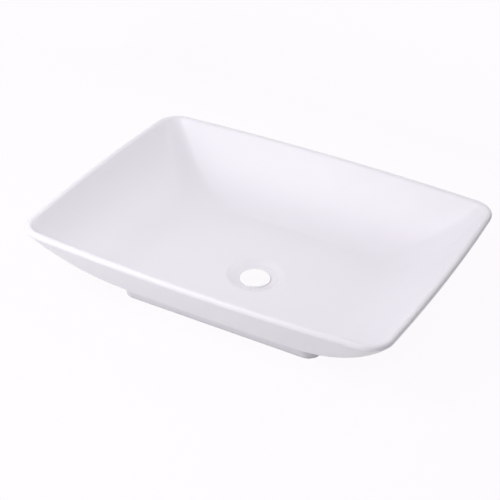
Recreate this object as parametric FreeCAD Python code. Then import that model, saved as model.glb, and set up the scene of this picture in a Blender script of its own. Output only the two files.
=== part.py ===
"""Rectangular ceramic countertop basin with a push-to-close waste.

Units are millimetres. +Z is up and -Y is the front. The origin lies in the plane of the
counter, under the middle of the rim.
"""
import FreeCAD, Part
import math
import os

os.makedirs("parts", exist_ok=True)

# Rim
RIM_LENGTH = 560.0          # over the middle of the two ends
RIM_WIDTH = 420.0           # over the middle of the two long sides
RIM_HEIGHT = 110.0          # above the counter
RIM_THICKNESS = 10.0
RIM_LEAN = 31.0             # lean of the wall, in degrees, where it runs into the round of the rim
RIM_STEPS = 6               # outlines on the round of the rim
WALL_SHARES = (0.0, 0.03, 0.1, 0.22, 0.4, 0.65, 1.0)
RIM_CORNER = 36.0           # corner radius seen from above
END_BOW = 7.0               # how far each end stands out in its middle
SIDE_BOW = 11.0             # how far each long side stands out in its middle

# Underside
FOOT_LENGTH = 304.0
FOOT_WIDTH = 258.0
FOOT_CORNER = 18.0
FOOT_HEIGHT = 16.0          # from the counter to the underside of the bowl
FOOT_WALL = 13.0
FOOT_LEDGE = 1.0            # the underside starts this far outside the foot
FOOT_EDGE = 1.5             # rounding of the edge that stands on the counter
UNDERSIDE_CORNER = 70.0
UNDERSIDE_BOW = 2.0
END_POWER = 0.45            # lower values make the end walls fuller
SIDE_POWER = 0.69           # the same for the long walls

# Bowl
FLOOR_LENGTH = 290.0        # where the walls run out into the floor
FLOOR_WIDTH = 220.0
FLOOR_CORNER = 60.0
FLOOR_BOW = 2.0
FLOOR_SIDE_POWER = 0.62     # fullness of the long walls inside the bowl
FLOOR_HEIGHT = 23.5         # above the counter, at the edge of the floor
FLOOR_FALL = 2.5            # drop from the edge of the floor to the drain
FLOOR_MARGIN = 2.0          # level strip at the edge of the floor

# Drain
DRAIN_FORWARD = 15.0        # the drain lies this far in front of the middle
DISH_RADIUS = 52.0          # the floor ends in this circle round the drain
RECESS_RADIUS = 41.0
RECESS_ROUND = 20.0         # rounding where the floor turns down into the recess
CONE_ANGLE = 29.0           # slope of the seat under the flange
WASTE_HOLE_RADIUS = 22.5
BOSS_RADIUS = 42.0
BOSS_UNDERSIDE = 4.5        # above the counter

# Waste body
TAIL_RADIUS = 20.95         # outside of a 1 1/4 inch pipe thread
TAIL_WALL = 2.4
TAIL_BELOW = 60.0           # how far the tail reaches below the counter
GROOVE_TOP = -18.0          # run-out groove between the nut's thread and the trap's
GROOVE_WIDTH = 4.0
GROOVE_DEPTH = 0.7
FLANGE_RADIUS = 32.0
FLANGE_THICKNESS = 1.6
FLANGE_EDGE = 0.7           # thickness left at the edge of the flange
FLANGE_TAPER = 5.0          # the flange thins towards its edge over this width
FLANGE_GASKET = 1.0
ARM_COUNT = 3
ARM_WIDTH = 4.0
ARM_DEPTH = 6.0
ARM_TOP = -24.0             # top of the cross arms, below the counter
HUB_RADIUS = 8.0

# Clamping pieces under the basin
CLAMP_RADIUS = 34.0
UNDER_GASKET = 3.5
SLIP_WASHER = 1.5
NUT_HEIGHT = 12.0
NUT_ACROSS = 56.0           # across the flats
NUT_FACE_RADIUS = 27.5
NUT_FACE = 1.0
NUT_CHAMFER = 2.0

# Plug and its mechanism
PLUG_LIFT = 8.0
CAP_RADIUS = 21.8
CAP_THICKNESS = 2.4
CAP_ROUND = 0.9
CAP_BOSS_RADIUS = 6.0
CAP_BOSS = 5.5
SEAL_THICKNESS = 1.4
SEAL_INSET = 1.4            # the seal ends this far inside the cap's edge
STEM_RADIUS = 3.0
STEM_IN_CAP = 4.0
PISTON_HEIGHT = 4.0
LATCH_HEIGHT = 3.0
LATCH_TEETH = 8
LATCH_TOOTH = 1.2
SLEEVE_RADIUS = 7.0
SLEEVE_BORE = 5.2
SLEEVE_SPIGOT = 5.0
SLEEVE_FLOOR = 2.0
SLEEVE_LIP = 2.0
SPRING_WIRE = 0.9
SPRING_COILS = 5
SPRING_LENGTH = 10.0        # with the plug closed

# Clearances
HOLE_CLEARANCE = 0.35       # soft rings round the tail
THREAD_CLEARANCE = 0.1      # nut on the tail
SLIDE_CLEARANCE = 0.3       # pieces that slide in one another
SEAT_CLEARANCE = 0.3        # plug above the flange when closed
END_PLAY = 1.0              # piston below the sleeve's lip with the plug up

UP = FreeCAD.Vector(0, 0, 1)
DRAIN = FreeCAD.Vector(0, -DRAIN_FORWARD, 0)
SLOPE = math.tan(math.radians(CONE_ANGLE))
STEEPNESS = 1.0 / math.cos(math.radians(CONE_ANGLE))


def point(x, y, z=0.0):
    return FreeCAD.Vector(x, y, z)


def bowed_outline(length, width, corner, end_bow, side_bow, z):
    """Closed rectangle of four long arcs and four corner arcs that run smoothly together."""
    a = length / 2
    b = width / 2
    end_radius = (b * b + end_bow * end_bow) / (2 * end_bow)
    side_radius = (a * a + side_bow * side_bow) / (2 * side_bow)
    end_centre = point(a - end_radius, 0)
    side_centre = point(0, b - side_radius)
    to_side = side_centre - end_centre
    gap = to_side.Length
    reach_end = end_radius - corner
    reach_side = side_radius - corner
    along = (gap * gap + reach_end * reach_end - reach_side * reach_side) / (2 * gap)
    across = math.sqrt(reach_end * reach_end - along * along)
    axis = to_side.multiply(1 / gap)
    corner_centre = end_centre + point(axis.x, axis.y) * along + point(-axis.y, axis.x) * -across
    if corner_centre.x < 0 or corner_centre.y < 0:
        corner_centre = end_centre + point(axis.x, axis.y) * along + point(-axis.y, axis.x) * across
    on_end = end_centre + (corner_centre - end_centre).normalize() * end_radius
    on_side = side_centre + (corner_centre - side_centre).normalize() * side_radius
    bisector = ((on_end + on_side) * 0.5 - corner_centre).normalize()
    on_corner = corner_centre + bisector * corner

    def at(p, sx, sy):
        return point(p.x * sx, p.y * sy, z)

    arcs = [
        (at(on_end, 1, -1), point(a, 0, z), at(on_end, 1, 1)),
        (at(on_end, 1, 1), at(on_corner, 1, 1), at(on_side, 1, 1)),
        (at(on_side, 1, 1), point(0, b, z), at(on_side, -1, 1)),
        (at(on_side, -1, 1), at(on_corner, -1, 1), at(on_end, -1, 1)),
        (at(on_end, -1, 1), point(-a, 0, z), at(on_end, -1, -1)),
        (at(on_end, -1, -1), at(on_corner, -1, -1), at(on_side, -1, -1)),
        (at(on_side, -1, -1), point(0, -b, z), at(on_side, 1, -1)),
        (at(on_side, 1, -1), at(on_corner, 1, -1), at(on_end, 1, -1)),
    ]
    return Part.Wire([Part.Arc(*three).toShape() for three in arcs])


def round_outline(radius, centre, z):
    """Circle in eight arcs, in the same order as bowed_outline."""
    breaks = [-35, 35, 55, 125, 145, 215, 235, 305, 325]

    def at(degrees):
        turn = math.radians(degrees)
        return point(centre.x + radius * math.cos(turn), centre.y + radius * math.sin(turn), z)

    arcs = []
    for first, last in zip(breaks[:-1], breaks[1:]):
        arcs.append(Part.Arc(at(first), at((first + last) / 2), at(last)).toShape())
    return Part.Wire(arcs)


def rounded_box(length, width, corner, bottom, height):
    """Upright prism with rounded corners, centred on the origin."""
    box = Part.makeBox(length, width, height, point(-length / 2, -width / 2, bottom))
    upright = [e for e in box.Edges if abs(e.tangentAt(e.FirstParameter).z) > 0.9]
    return box.makeFillet(corner, upright)


def turned(profile):
    """Solid of revolution about the drain's axis, from (radius, height) points."""
    corners = [point(r, 0, z) for r, z in profile]
    face = Part.Face(Part.makePolygon(corners + corners[:1]))
    solid = face.revolve(point(0, 0), UP, 360)
    solid.translate(DRAIN)
    return solid


def ring(inner, outer, bottom, height):
    """Flat ring about the drain's axis."""
    return turned([(inner, bottom), (outer, bottom), (outer, bottom + height), (inner, bottom + height)])


def edges_at(solid, height, radius=None):
    """Edges of a solid that lie wholly at one height, and on one circle if a radius is given."""
    found = []
    for edge in solid.Edges:
        box = edge.BoundBox
        if abs(box.ZMin - height) > 0.01 or abs(box.ZMax - height) > 0.01:
            continue
        if radius is None or (hasattr(edge.Curve, "Radius") and abs(edge.Curve.Radius - radius) < 0.01):
            found.append(edge)
    return found


def blend(low, high, share, power=1.0):
    return low + (high - low) * share ** power


def rim_section(angle):
    """Size of the outline on the round of the rim, and its height. Zero degrees is the outermost line."""
    radius = RIM_THICKNESS / 2
    inset = radius - radius * math.cos(math.radians(angle))
    size = (RIM_LENGTH - 2 * inset, RIM_WIDTH - 2 * inset, RIM_CORNER - inset, END_BOW, SIDE_BOW)
    return size, RIM_HEIGHT - radius + radius * math.sin(math.radians(angle))


def wall_sections(low, low_z, angle, side_power):
    """Outlines of one side of the wall, from its lowest outline up to the round of the rim."""
    high, high_z = rim_section(angle)
    sections = []
    for share in WALL_SHARES:
        sections.append(bowed_outline(
            blend(low[0], high[0], share, END_POWER),
            blend(low[1], high[1], share, side_power),
            blend(low[2], high[2], share),
            blend(low[3], high[3], share),
            blend(low[4], high[4], share),
            blend(low_z, high_z, share)))
    return sections


# Levels on the drain's axis
dish_z = FLOOR_HEIGHT - FLOOR_FALL
hole_top_z = dish_z - (RECESS_RADIUS - WASTE_HOLE_RADIUS) * SLOPE
gasket_rise = FLANGE_GASKET * STEEPNESS
flange_rise = gasket_rise + FLANGE_THICKNESS * STEEPNESS


def cone_z(radius):
    """Height of the ceramic seat at a radius."""
    return hole_top_z + (radius - WASTE_HOLE_RADIUS) * SLOPE


# Basin: bowl, foot and drain boss in one casting. The skin of the bowl is one loft that runs up
# the outside, over the rim and down the inside to the edge of the floor.
underside = (FOOT_LENGTH + 2 * FOOT_LEDGE, FOOT_WIDTH + 2 * FOOT_LEDGE, UNDERSIDE_CORNER,
             UNDERSIDE_BOW, UNDERSIDE_BOW)
floor_edge = (FLOOR_LENGTH, FLOOR_WIDTH, FLOOR_CORNER, FLOOR_BOW, FLOOR_BOW)
skin = wall_sections(underside, FOOT_HEIGHT, -RIM_LEAN, SIDE_POWER)
for step in range(1, RIM_STEPS):
    size, height = rim_section(-RIM_LEAN + 180 * step / RIM_STEPS)
    skin.append(bowed_outline(*size, height))
skin.extend(reversed(wall_sections(floor_edge, FLOOR_HEIGHT, 180 - RIM_LEAN, FLOOR_SIDE_POWER)))
bowl = Part.makeLoft(skin, True, False)
fall_top = bowed_outline(FLOOR_LENGTH - 2 * FLOOR_MARGIN, FLOOR_WIDTH - 2 * FLOOR_MARGIN,
                         FLOOR_CORNER - FLOOR_MARGIN, FLOOR_BOW, FLOOR_BOW, FLOOR_HEIGHT)
fall = Part.makeLoft([fall_top, round_outline(DISH_RADIUS, DRAIN, dish_z)], True, True)
bowl = bowl.cut(fall)
foot = rounded_box(FOOT_LENGTH, FOOT_WIDTH, FOOT_CORNER, 0, FOOT_HEIGHT)
foot_hollow = rounded_box(FOOT_LENGTH - 2 * FOOT_WALL, FOOT_WIDTH - 2 * FOOT_WALL,
                          FOOT_CORNER - FOOT_WALL, 0, FOOT_HEIGHT)
foot = foot.cut(foot_hollow)
foot = foot.makeFillet(FOOT_EDGE, edges_at(foot, 0))
boss = ring(WASTE_HOLE_RADIUS, BOSS_RADIUS, BOSS_UNDERSIDE, FOOT_HEIGHT - BOSS_UNDERSIDE)
recess = turned([(0, BOSS_UNDERSIDE), (WASTE_HOLE_RADIUS, BOSS_UNDERSIDE), (WASTE_HOLE_RADIUS, hole_top_z),
                 (RECESS_RADIUS, dish_z), (0, dish_z)])
basin_body = bowl.fuse(foot).fuse(boss).cut(recess).removeSplitter()
basin_body = basin_body.makeFillet(RECESS_ROUND, edges_at(basin_body, dish_z, RECESS_RADIUS))
basin_body.exportStep("parts/basin_body.step")

# Waste body: dished flange, throat and tail, with cross arms that carry the mechanism
throat_radius = TAIL_RADIUS - TAIL_WALL
neck_z = cone_z(TAIL_RADIUS) + gasket_rise
arm_bottom = ARM_TOP - ARM_DEPTH
waste_body = turned([
    (throat_radius, -TAIL_BELOW),
    (TAIL_RADIUS, -TAIL_BELOW),
    (TAIL_RADIUS, GROOVE_TOP - GROOVE_WIDTH),
    (TAIL_RADIUS - GROOVE_DEPTH, GROOVE_TOP - GROOVE_WIDTH),
    (TAIL_RADIUS - GROOVE_DEPTH, GROOVE_TOP),
    (TAIL_RADIUS, GROOVE_TOP),
    (TAIL_RADIUS, neck_z),
    (FLANGE_RADIUS, cone_z(FLANGE_RADIUS) + gasket_rise),
    (FLANGE_RADIUS, cone_z(FLANGE_RADIUS) + gasket_rise + FLANGE_EDGE * STEEPNESS),
    (FLANGE_RADIUS - FLANGE_TAPER, cone_z(FLANGE_RADIUS - FLANGE_TAPER) + flange_rise),
    (throat_radius, cone_z(throat_radius) + flange_rise),
])
hub = ring(SLEEVE_SPIGOT, HUB_RADIUS, arm_bottom, ARM_DEPTH)
arm_start = (SLEEVE_SPIGOT + HUB_RADIUS) / 2
arm_end = throat_radius + TAIL_WALL / 2
for number in range(ARM_COUNT):
    arm = Part.makeBox(arm_end - arm_start, ARM_WIDTH, ARM_DEPTH,
                       point(arm_start, -ARM_WIDTH / 2, arm_bottom))
    arm.rotate(point(0, 0), UP, 360 * number / ARM_COUNT)
    arm.translate(DRAIN)
    hub = hub.fuse(arm)
waste_body = waste_body.fuse(hub).removeSplitter()
waste_body.exportStep("parts/waste_body.step")

# Soft ring between the flange and the ceramic
gasket_inner = WASTE_HOLE_RADIUS
gasket_outer = FLANGE_RADIUS - FLANGE_GASKET
flange_gasket = turned([
    (gasket_inner, cone_z(gasket_inner)),
    (gasket_outer, cone_z(gasket_outer)),
    (gasket_outer, cone_z(gasket_outer) + gasket_rise),
    (gasket_inner, cone_z(gasket_inner) + gasket_rise),
])
flange_gasket.exportStep("parts/flange_gasket.step")

# Clamping pieces, stacked downwards from the ceramic
washer_bore = TAIL_RADIUS + HOLE_CLEARANCE
under_gasket_z = BOSS_UNDERSIDE - UNDER_GASKET
slip_washer_z = under_gasket_z - SLIP_WASHER
nut_z = slip_washer_z - NUT_HEIGHT
under_gasket = ring(washer_bore, CLAMP_RADIUS, under_gasket_z, UNDER_GASKET)
under_gasket.exportStep("parts/under_gasket.step")
slip_washer = ring(washer_bore, CLAMP_RADIUS, slip_washer_z, SLIP_WASHER)
slip_washer.exportStep("parts/slip_washer.step")
nut_bore = TAIL_RADIUS + THREAD_CLEARANCE
nut_corner = NUT_ACROSS / 2 / math.cos(math.radians(30))
hexagon = [point(nut_corner, 0, nut_z)]
for number in range(1, 7):
    turn = math.radians(60 * number)
    hexagon.append(point(nut_corner * math.cos(turn), nut_corner * math.sin(turn), nut_z))
back_nut = Part.Face(Part.makePolygon(hexagon)).extrude(UP * (NUT_HEIGHT - NUT_FACE))
back_nut.translate(DRAIN)
nut_top = nut_z + NUT_HEIGHT - NUT_FACE
crown = turned([
    (0, nut_z),
    (nut_corner - NUT_CHAMFER, nut_z),
    (nut_corner, nut_z + NUT_CHAMFER * SLOPE),
    (nut_corner, nut_top - NUT_CHAMFER * SLOPE),
    (nut_corner - NUT_CHAMFER, nut_top),
    (0, nut_top),
])
back_nut = back_nut.common(crown).fuse(ring(nut_bore, NUT_FACE_RADIUS, nut_top, NUT_FACE))
back_nut = back_nut.cut(ring(0, nut_bore, nut_z, NUT_HEIGHT)).removeSplitter()
back_nut.exportStep("parts/back_nut.step")

# Plug cap and its seal, drawn closed
cap_z = cone_z(CAP_RADIUS) + flange_rise + SEAT_CLEARANCE
cap_top = cap_z + CAP_THICKNESS
boss_z = cap_z - CAP_BOSS
plug_cap = turned([(0, boss_z), (CAP_BOSS_RADIUS, boss_z), (CAP_BOSS_RADIUS, cap_z), (CAP_RADIUS, cap_z),
                   (CAP_RADIUS, cap_top), (0, cap_top)])
plug_cap = plug_cap.makeFillet(CAP_ROUND, edges_at(plug_cap, cap_top, CAP_RADIUS))
plug_cap = plug_cap.cut(turned([(0, boss_z), (STEM_RADIUS, boss_z), (STEM_RADIUS, boss_z + STEM_IN_CAP),
                                (0, boss_z + STEM_IN_CAP)]))
plug_cap.exportStep("parts/plug_cap.step")
seal_radius = CAP_RADIUS - SEAL_INSET
seal_low = seal_radius - SEAL_THICKNESS / SLOPE
plug_seal = turned([
    (CAP_BOSS_RADIUS, cap_z),
    (CAP_BOSS_RADIUS, cap_z - SEAL_THICKNESS),
    (seal_low, cap_z - SEAL_THICKNESS),
    (seal_radius, cap_z - SEAL_INSET * SLOPE),
    (seal_radius, cap_z),
])
plug_seal.exportStep("parts/plug_seal.step")

# Push-to-close mechanism: sleeve in the cross arms, spring, stem with piston, latch ring
sleeve_floor_z = ARM_TOP + SLEEVE_FLOOR
piston_z = sleeve_floor_z + SPRING_LENGTH
piston_top = piston_z + PISTON_HEIGHT
lip_z = piston_top + LATCH_HEIGHT + PLUG_LIFT + END_PLAY
stem_bore = STEM_RADIUS + SLIDE_CLEARANCE
cartridge_sleeve = turned([
    (0, arm_bottom),
    (SLEEVE_SPIGOT, arm_bottom),
    (SLEEVE_SPIGOT, ARM_TOP),
    (SLEEVE_RADIUS, ARM_TOP),
    (SLEEVE_RADIUS, lip_z + SLEEVE_LIP),
    (stem_bore, lip_z + SLEEVE_LIP),
    (stem_bore, lip_z),
    (SLEEVE_BORE, lip_z),
    (SLEEVE_BORE, sleeve_floor_z),
    (0, sleeve_floor_z),
])
cartridge_sleeve.exportStep("parts/cartridge_sleeve.step")
piston_radius = SLEEVE_BORE - SLIDE_CLEARANCE
plug_stem = turned([
    (0, piston_z),
    (piston_radius, piston_z),
    (piston_radius, piston_top),
    (STEM_RADIUS, piston_top),
    (STEM_RADIUS, boss_z + STEM_IN_CAP),
    (0, boss_z + STEM_IN_CAP),
])
plug_stem.exportStep("parts/plug_stem.step")
latch_ring = ring(STEM_RADIUS, piston_radius, piston_top, LATCH_HEIGHT)
notch_width = math.pi * piston_radius / LATCH_TEETH
for number in range(LATCH_TEETH):
    notch = Part.makeBox(piston_radius, notch_width, LATCH_TOOTH,
                         point(STEM_RADIUS / 2, -notch_width / 2, piston_top + LATCH_HEIGHT - LATCH_TOOTH))
    notch.rotate(point(0, 0), UP, 360 * number / LATCH_TEETH)
    notch.translate(DRAIN)
    latch_ring = latch_ring.cut(notch)
latch_ring.exportStep("parts/latch_ring.step")

# Coil spring between the sleeve's floor and the piston
coil_radius = piston_radius - SPRING_WIRE
pitch = (SPRING_LENGTH - SPRING_WIRE) / SPRING_COILS
path = Part.makeHelix(pitch, SPRING_LENGTH - SPRING_WIRE, coil_radius)
wire_end = Part.Wire(Part.makeCircle(SPRING_WIRE / 2, point(coil_radius, 0), point(0, 1, 0)))
cartridge_spring = Part.Wire(path).makePipeShell([wire_end], True, True)
cartridge_spring.translate(DRAIN + UP * (sleeve_floor_z + SPRING_WIRE / 2))
cartridge_spring.exportStep("parts/cartridge_spring.step")
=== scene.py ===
"""Looks of a white ceramic countertop basin with a push-to-close waste.

Lengths are metres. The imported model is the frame: every piece stands where its node stands.
"""
import math

import bpy
import numpy as np
from bpy.props import FloatProperty, FloatVectorProperty, IntProperty, PointerProperty
from bpy.types import NodeSocket, Operator, Panel, PropertyGroup
from mathutils import Matrix, Vector


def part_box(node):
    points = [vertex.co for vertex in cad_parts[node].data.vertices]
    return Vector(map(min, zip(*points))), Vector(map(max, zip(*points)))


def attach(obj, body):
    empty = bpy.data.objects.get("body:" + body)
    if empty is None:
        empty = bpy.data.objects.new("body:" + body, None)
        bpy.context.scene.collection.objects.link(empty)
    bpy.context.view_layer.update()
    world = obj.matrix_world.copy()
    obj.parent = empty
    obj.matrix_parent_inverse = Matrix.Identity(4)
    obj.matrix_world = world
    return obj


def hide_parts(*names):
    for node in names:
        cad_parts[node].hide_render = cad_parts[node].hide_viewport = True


bl_info = {
    "name": "Countertop Basin",
    "version": (1, 0, 0),
    "blender": (4, 5, 0),
    "location": "View3D > Sidebar > Basin",
    "description": "Builds a glazed countertop basin with its waste and studio stage",
    "category": "Object",
}

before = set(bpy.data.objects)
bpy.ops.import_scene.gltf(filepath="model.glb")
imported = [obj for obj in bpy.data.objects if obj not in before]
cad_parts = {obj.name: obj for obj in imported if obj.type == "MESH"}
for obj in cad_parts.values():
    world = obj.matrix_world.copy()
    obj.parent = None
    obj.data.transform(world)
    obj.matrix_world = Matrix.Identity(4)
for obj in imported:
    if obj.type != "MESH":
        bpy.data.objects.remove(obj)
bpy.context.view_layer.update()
MM = 0.001

BASIN_LOW, BASIN_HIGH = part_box("basin_body")
CAP_LOW, CAP_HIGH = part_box("plug_cap")
WASTE_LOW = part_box("waste_body")[0]
DRAIN = Vector(((CAP_LOW.x + CAP_HIGH.x) / 2, (CAP_LOW.y + CAP_HIGH.y) / 2, 0.0))


# Properties

def metres(label, description, default):
    """A size that a user may change."""
    return FloatProperty(name=label, description=description, default=default, min=0.0, unit="LENGTH",
                         precision=4)


def lean(label, description, degrees):
    """An angle that a user may change."""
    return FloatProperty(name=label, description=description, default=math.radians(degrees), subtype="ANGLE")


def fullness(label, description, default):
    """How soon a wall, going up, nears its size at the rim."""
    return FloatProperty(name=label, description=description, default=default, min=0.2, max=1.0)


def amount(label, description, default, low, high):
    """A count that a user may change."""
    return IntProperty(name=label, description=description, default=default, min=low, max=high)


def colour(label, description, default):
    """A colour that a user may change."""
    return FloatVectorProperty(name=label, description=description, default=default, size=3, min=0.0, max=1.0,
                               subtype="COLOR")


def glow(label, description, default, subtype="NONE"):
    """A strength of light that a user may change."""
    return FloatProperty(name=label, description=description, default=default, min=0.0, subtype=subtype)


def box_radius(node):
    """Half the width of a round node."""
    low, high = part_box(node)
    return (high.x - low.x) / 2


class BasinShape(PropertyGroup):
    """Sizes of the ceramic."""
    length: metres("Length", "Over the middle of the two ends", BASIN_HIGH.x - BASIN_LOW.x)
    width: metres("Width", "Over the middle of the two long sides", BASIN_HIGH.y - BASIN_LOW.y)
    height: metres("Height", "Rim above the counter", BASIN_HIGH.z)
    rim_thickness: metres("Rim thickness", "Thickness of the round rim", 10.0 * MM)
    rim_lean: lean("Rim lean", "Lean of the wall where it meets the rim", 31.0)
    corner: metres("Corner radius", "Rim corner seen from above", 36.0 * MM)
    end_bow: metres("End bow", "How far each end stands out in its middle", 7.0 * MM)
    side_bow: metres("Side bow", "How far each long side stands out in its middle", 11.0 * MM)
    end_power: fullness("End fullness", "Lower values make the end walls fuller", 0.45)
    side_power: fullness("Side fullness", "Lower values make the long walls fuller", 0.69)
    foot_length: metres("Foot length", "Outside length of the foot", 304.0 * MM)
    foot_width: metres("Foot width", "Outside width of the foot", 258.0 * MM)
    foot_corner: metres("Foot corner", "Corner radius of the foot", 18.0 * MM)
    foot_height: metres("Foot height", "Counter to the underside of the bowl", 16.0 * MM)
    foot_wall: metres("Foot wall", "Wall of the hollow foot", 13.0 * MM)
    foot_edge: metres("Foot edge", "Rounding of the edges on the counter", 1.5 * MM)
    foot_ledge: metres("Foot ledge", "Underside outside the foot", 1.0 * MM)
    foot_cove: metres("Foot cove", "Hollow rounding where the foot meets the bowl", 4.0 * MM)
    foot_draft: lean("Foot draft", "Lean of the foot's long sides", 25.0)
    underside_corner: metres("Underside corner", "Corner radius of the underside at the foot", 70.0 * MM)
    low_bow: metres("Low bow", "Bow of the sides at the foot and the floor", 2.0 * MM)
    floor_length: metres("Floor length", "Where the end walls run out", 290.0 * MM)
    floor_width: metres("Floor width", "Where the long walls run out", 220.0 * MM)
    floor_side_power: fullness("Inner side fullness", "Fullness of the long walls inside", 0.62)
    floor_corner: metres("Floor corner", "Corner radius of the floor", 60.0 * MM)
    floor_corner_power: fullness("Inner corner fullness",
                                 "Lower values tighten the inside corners sooner above the floor", 0.35)
    floor_height: metres("Floor height", "Edge of the floor above the counter", 23.5 * MM)
    floor_fall: metres("Floor fall", "Drop from the edge of the floor to the drain", 2.5 * MM)
    dish_radius: metres("Dish radius", "Level circle round the drain", 52.0 * MM)
    recess_radius: metres("Recess radius", "Recess round the drain", 41.0 * MM)
    recess_round: metres("Recess round", "Rounding of the recess's lip", 8.0 * MM)
    cone_angle: lean("Seat slope", "Slope of the seat under the flange", 29.0)
    hole_radius: metres("Waste hole radius", "Hole in the ceramic", 22.5 * MM)
    hole_edge: metres("Waste hole edge", "Rounding of the hole's edges", 0.8 * MM)
    boss_radius: metres("Boss radius", "Thick ring under the drain", 42.0 * MM)
    boss_underside: metres("Boss underside", "Boss above the counter", 4.5 * MM)


class WasteShape(PropertyGroup):
    """Sizes of the waste and its plug."""
    flange_radius: metres("Flange radius", "Outside of the dished flange", box_radius("waste_body"))
    flange_thickness: metres("Flange thickness", "Thickness of the dished flange", 1.6 * MM)
    flange_edge: metres("Flange edge", "Edge of the flange above the ceramic", 0.4 * MM)
    gasket: metres("Gasket", "Soft ring under the flange", 1.0 * MM)
    tail_radius: metres("Tail radius", "Outside of the pipe thread", 20.95 * MM)
    tail_wall: metres("Tail wall", "Wall of the tail", 2.4 * MM)
    thread_depth: metres("Thread depth", "Height of the pipe thread", 1.1 * MM)
    thread_pitch: metres("Thread pitch", "Eleven threads to the inch", 2.309 * MM)
    arm_count: amount("Cross arms", "Arms that carry the mechanism", 3, 2, 6)
    arm_width: metres("Arm width", "Width of a cross arm", 4.0 * MM)
    arm_depth: metres("Arm depth", "Height of a cross arm", 6.0 * MM)
    arm_drop: metres("Arm drop", "Top of the arms below the counter", 24.0 * MM)
    hub_radius: metres("Hub radius", "Middle of the cross arms", 8.0 * MM)
    spigot_radius: metres("Spigot radius", "Foot of the sleeve in the hub", 5.0 * MM)
    stem_radius: metres("Stem radius", "Sliding rod of the plug", 3.0 * MM)
    boss_radius: metres("Cap boss radius", "Boss of the cap on the stem", 6.0 * MM)
    spring_coils: amount("Spring coils", "Turns of the spring", 5, 2, 20)
    spring_wire: metres("Spring wire", "Thickness of the wire", 0.9 * MM)
    latch_teeth: amount("Latch teeth", "Teeth of the latch ring", 8, 4, 24)
    tooth_height: metres("Tooth height", "Height of a latch tooth", 1.2 * MM)
    nut_chamfer: metres("Nut chamfer", "Width of the chamfer on the nut's corners", 2.0 * MM)


class BasinFinish(PropertyGroup):
    """Colours of the finishes."""
    glaze: colour("Glaze", "White glaze", (0.802, 0.773, 0.831))
    bisque: colour("Bare clay", "Unglazed ring under the foot", (0.62, 0.57, 0.50))
    # The flange's white coat is set a little darker than the glaze: painted shade for the recess round the drain.
    coat: colour("White coat", "Coat on the flange", (0.785, 0.757, 0.812))
    cap: colour("Cap", "Coat on the plug cap", (0.96, 0.95, 0.96))
    brass: colour("Brass", "Turned brass", (0.72, 0.54, 0.25))
    nickel: colour("Nickel", "Plated brass", (0.68, 0.66, 0.63))
    rubber: colour("Rubber", "Black rubber", (0.018, 0.018, 0.019))
    pale_rubber: colour("Pale rubber", "Soft ring under the flange", (0.60, 0.60, 0.59))
    nylon: colour("Nylon", "Slip washer", (0.74, 0.71, 0.63))
    acetal: colour("Acetal", "Latch ring", (0.78, 0.78, 0.76))
    steel: colour("Steel", "Spring wire", (0.56, 0.56, 0.57))


class StudioStage(PropertyGroup):
    """Camera and light."""
    camera_place: FloatVectorProperty(name="Camera place", description="Where the camera stands", size=3,
                                      default=(0.76568, -1.48420, 1.15016), subtype="XYZ", unit="LENGTH")
    camera_turn: FloatVectorProperty(name="Camera turn", description="Azimuth, elevation and roll of the view",
                                     size=3, default=tuple(math.radians(a) for a in (27.8244, 33.289, 1.7867)),
                                     subtype="EULER")
    lens: FloatProperty(name="Lens", description="Focal length in millimetres", default=101.53, min=1.0,
                        subtype="DISTANCE_CAMERA")
    sky: glow("Sky", "Strength of the even sky", 0.473)
    sky_back: glow("Back sky", "Strength that the sky gains at the back", 0.29)
    key: glow("Key light", "Softbox at the front left", 30.7, "POWER")
    near: glow("Near light", "Small softbox over the front left", 4.1, "POWER")
    back: glow("Back light", "Softbox high at the back right", 19.44, "POWER")
    floor_white: FloatProperty(name="Floor white", description="Share of plain white that the camera sees",
                               default=0.95, min=0.0, max=1.0, subtype="FACTOR")
    card: colour("Cards", "Dark cards at the right and behind", (0.45, 0.45, 0.45))


# Meshes

EDGE_SHARE = 0.45       # most of an edge that a rounding may take up
ARC_HOLD = 1.1          # reach of the points outside an arc that keep the faces beside it flat
ARC_STEPS = 4
LATHE_SEGMENTS = 128
ROD_SEGMENTS = 64


def finish_piece(name, mesh, body, material, node):
    """Object for a finished mesh, riding on its body in place of its node."""
    piece = bpy.data.objects.new(name, mesh)
    bpy.context.collection.objects.link(piece)
    mesh.materials.clear()
    mesh.materials.append(material)
    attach(piece, body)
    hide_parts(node)
    return piece


def new_mesh(name, points, faces, smooth=True):
    """Mesh with smooth or flat shading on every face."""
    mesh = bpy.data.meshes.new(name)
    mesh.from_pydata(points, [], faces)
    mesh.polygons.foreach_set("use_smooth", [smooth] * len(faces))
    mesh.update()
    return mesh


def ring_faces(low, high, count):
    """Faces between two rings of points, each given by its first point."""
    pairs = [(k, (k + 1) % count) for k in range(count)]
    return [(low + k, low + after, high + after, high + k) for k, after in pairs]


def loop_mesh(name, rings):
    """Closed skin through rings of equal count: the last ring joins the first."""
    count = len(rings[0])
    faces = []
    for row in range(len(rings)):
        faces.extend(ring_faces(row * count, (row + 1) % len(rings) * count, count))
    return new_mesh(name, np.vstack(rings).tolist(), faces)


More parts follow.
